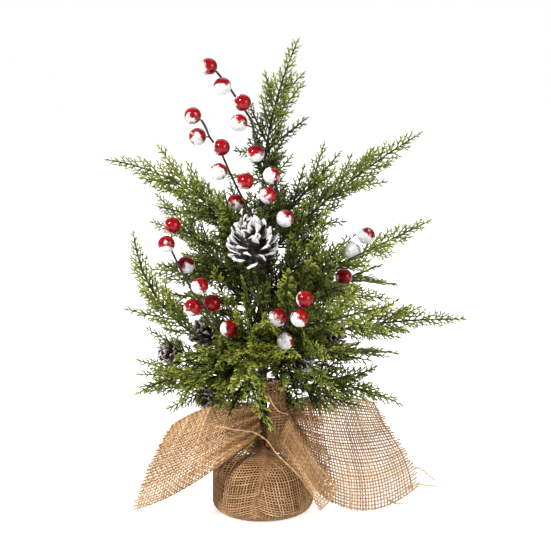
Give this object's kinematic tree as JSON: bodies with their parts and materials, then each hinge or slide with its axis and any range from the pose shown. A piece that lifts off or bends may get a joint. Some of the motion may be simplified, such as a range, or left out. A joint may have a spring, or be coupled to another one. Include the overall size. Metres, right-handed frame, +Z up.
{
  "type": "artificial tabletop tree",
  "caption": "Small artificial cedar tree with snowy berries and pine cones, in a weighted base wrapped in tied burlap.",
  "frame": {"origin": "centre of the flat underside of the wrapped base", "axes": "+Z up along the trunk, -Y towards the front, +X to the front's right"},
  "size_m": [0.2903, 0.212, 0.3916],
  "materials": {
    "foliage": "satin",
    "branch_wire": "matte",
    "berry_wire": "matte",
    "berry_red": "gloss",
    "cone_scales": "matte",
    "trunk_tape": "matte",
    "cast_base": "matte",
    "burlap": "matte",
    "gold_wire": "satin"
  },
  "bodies": {
    "base_and_trunk": {"base_weight": "cast_base", "burlap_wrap": "burlap", "cone_wires": "branch_wire", "pine_cone_centre": "cone_scales", "pine_cone_front": "cone_scales", "pine_cone_left": "cone_scales", "pine_cone_left_tip": "cone_scales", "pine_cone_low_left": "cone_scales", "pine_cone_right": "cone_scales", "trunk": "trunk_tape", "twist_tie": "gold_wire"},
    "pick_top": {"berry_stem_top": "berry_wire", "berries_top": "berry_red"},
    "pick_left": {"berry_stem_left": "berry_wire", "berries_left": "berry_red"},
    "pick_centre": {"berry_stem_centre": "berry_wire", "berries_centre": "berry_red"},
    "pick_right": {"berry_stem_right": "berry_wire", "berries_right": "berry_red"},
    "branch_leader": {"wire_leader": "branch_wire", "spray_leader": "foliage"},
    "branch_right_sprig": {"wire_right_sprig": "branch_wire", "spray_right_sprig": "foliage"},
    "branch_right_upper": {"wire_right_upper": "branch_wire", "spray_right_upper": "foliage"},
    "branch_right_mid": {"wire_right_mid": "branch_wire", "spray_right_mid": "foliage"},
    "branch_right_behind": {"wire_right_behind": "branch_wire", "spray_right_behind": "foliage"},
    "branch_right_front": {"wire_right_front": "branch_wire", "spray_right_front": "foliage"},
    "branch_right_long": {"wire_right_long": "branch_wire", "spray_right_long": "foliage"},
    "branch_right_low_behind": {"wire_right_low_behind": "branch_wire", "spray_right_low_behind": "foliage"},
    "branch_right_bottom": {"wire_right_bottom": "branch_wire", "spray_right_bottom": "foliage"},
    "branch_left_upper": {"wire_left_upper": "branch_wire", "spray_left_upper": "foliage"},
    "branch_left_behind": {"wire_left_behind": "branch_wire", "spray_left_behind": "foliage"},
    "branch_left_mid": {"wire_left_mid": "branch_wire", "spray_left_mid": "foliage"},
    "branch_left_low": {"wire_left_low": "branch_wire", "spray_left_low": "foliage"},
    "branch_left_sprig": {"wire_left_sprig": "branch_wire", "spray_left_sprig": "foliage"},
    "branch_front_drop": {"wire_front_drop": "branch_wire", "spray_front_drop": "foliage"},
    "branch_front_right": {"wire_front_right": "branch_wire", "spray_front_right": "foliage"},
    "branch_front_left": {"wire_front_left": "branch_wire", "spray_front_left": "foliage"},
    "branch_back_upper": {"wire_back_upper": "branch_wire", "spray_back_upper": "foliage"},
    "branch_back_left": {"wire_back_left": "branch_wire", "spray_back_left": "foliage"},
    "branch_back_right": {"wire_back_right": "branch_wire", "spray_back_right": "foliage"}
  },
  "joints": [
    {"name": "bend_top", "type": "hinge", "parent": "base_and_trunk", "child": "pick_top", "pos_m": [0.00137, -0.00481, 0.20494], "axis": [-0.9615, -0.2747, 0], "range_deg": [-8, 8]},
    {"name": "bend_left", "type": "hinge", "parent": "base_and_trunk", "child": "pick_left", "pos_m": [-0.00447, -0.00596, 0.14223], "axis": [-0.8, 0.6, 0], "range_deg": [-8, 8]},
    {"name": "bend_centre", "type": "hinge", "parent": "base_and_trunk", "child": "pick_centre", "pos_m": [0.00148, -0.00711, 0.13555], "axis": [-0.979, -0.204, 0], "range_deg": [-8, 8]},
    {"name": "bend_right", "type": "hinge", "parent": "base_and_trunk", "child": "pick_right", "pos_m": [0.00652, 0.001, 0.16502], "axis": [0.1521, -0.9884, 0], "range_deg": [-8, 8]},
    {"name": "bend_leader", "type": "hinge", "parent": "base_and_trunk", "child": "branch_leader", "pos_m": [0.00045, 0, 0.26623], "axis": [0, -1, 0], "range_deg": [-8, 8]},
    {"name": "bend_right_sprig", "type": "hinge", "parent": "base_and_trunk", "child": "branch_right_sprig", "pos_m": [0.00528, -0.00176, 0.23787], "axis": [-0.3162, -0.9487, 0], "range_deg": [-8, 8]},
    {"name": "bend_right_upper", "type": "hinge", "parent": "base_and_trunk", "child": "branch_right_upper", "pos_m": [0.00579, 0.00176, 0.21709], "axis": [0.29, -0.957, 0], "range_deg": [-8, 8]},
    {"name": "bend_right_mid", "type": "hinge", "parent": "base_and_trunk", "child": "branch_right_mid", "pos_m": [0.00658, -0.00188, 0.18348], "axis": [-0.2747, -0.9615, 0], "range_deg": [-8, 8]},
    {"name": "bend_right_behind", "type": "hinge", "parent": "base_and_trunk", "child": "branch_right_behind", "pos_m": [0.00615, 0.00392, 0.16968], "axis": [0.5369, -0.8437, 0], "range_deg": [-8, 8]},
    {"name": "bend_right_front", "type": "hinge", "parent": "base_and_trunk", "child": "branch_right_front", "pos_m": [0.00549, -0.00486, 0.15053], "axis": [-0.6626, -0.749, 0], "range_deg": [-8, 8]},
    {"name": "bend_right_long", "type": "hinge", "parent": "base_and_trunk", "child": "branch_right_long", "pos_m": [0.00753, 0.00041, 0.13964], "axis": [0.0543, -0.9985, 0], "range_deg": [-8, 8]},
    {"name": "bend_right_low_behind", "type": "hinge", "parent": "base_and_trunk", "child": "branch_right_low_behind", "pos_m": [0.00621, 0.0047, 0.11857], "axis": [0.6039, -0.7971, 0], "range_deg": [-8, 8]},
    {"name": "bend_right_bottom", "type": "hinge", "parent": "base_and_trunk", "child": "branch_right_bottom", "pos_m": [0.00755, -0.00219, 0.09971], "axis": [-0.2788, -0.9603, 0], "range_deg": [-8, 8]},
    {"name": "bend_left_upper", "type": "hinge", "parent": "base_and_trunk", "child": "branch_left_upper", "pos_m": [-0.00556, -0.00152, 0.21115], "axis": [-0.2631, 0.9648, 0], "range_deg": [-8, 8]},
    {"name": "bend_left_behind", "type": "hinge", "parent": "base_and_trunk", "child": "branch_left_behind", "pos_m": [-0.00588, 0.0023, 0.18337], "axis": [0.3644, 0.9312, 0], "range_deg": [-8, 8]},
    {"name": "bend_left_mid", "type": "hinge", "parent": "base_and_trunk", "child": "branch_left_mid", "pos_m": [-0.00703, -0.00192, 0.13351], "axis": [-0.2631, 0.9648, 0], "range_deg": [-8, 8]},
    {"name": "bend_left_low", "type": "hinge", "parent": "base_and_trunk", "child": "branch_left_low", "pos_m": [-0.00734, -0.00253, 0.10515], "axis": [-0.326, 0.9454, 0], "range_deg": [-8, 8]},
    {"name": "bend_left_sprig", "type": "hinge", "parent": "base_and_trunk", "child": "branch_left_sprig", "pos_m": [-0.00405, -0.00424, 0.22152], "axis": [-0.7226, 0.6912, 0], "range_deg": [-8, 8]},
    {"name": "bend_front_drop", "type": "hinge", "parent": "base_and_trunk", "child": "branch_front_drop", "pos_m": [-0.00172, -0.00738, 0.146], "axis": [-0.9738, 0.2272, 0], "range_deg": [-8, 8]},
    {"name": "bend_front_right", "type": "hinge", "parent": "base_and_trunk", "child": "branch_front_right", "pos_m": [0.00404, -0.0065, 0.12757], "axis": [-0.8496, -0.5274, 0], "range_deg": [-8, 8]},
    {"name": "bend_front_left", "type": "hinge", "parent": "base_and_trunk", "child": "branch_front_left", "pos_m": [-0.00488, -0.0059, 0.12005], "axis": [-0.771, 0.6369, 0], "range_deg": [-8, 8]},
    {"name": "bend_back_upper", "type": "hinge", "parent": "base_and_trunk", "child": "branch_back_upper", "pos_m": [0.00102, 0.00559, 0.22784], "axis": [0.9839, -0.1789, 0], "range_deg": [-8, 8]},
    {"name": "bend_back_left", "type": "hinge", "parent": "base_and_trunk", "child": "branch_back_left", "pos_m": [-0.00396, 0.00574, 0.16176], "axis": [0.8232, 0.5677, 0], "range_deg": [-8, 8]},
    {"name": "bend_back_right", "type": "hinge", "parent": "base_and_trunk", "child": "branch_back_right", "pos_m": [0.00348, 0.00636, 0.15287], "axis": [0.8768, -0.4808, 0], "range_deg": [-8, 8]}
  ]
}
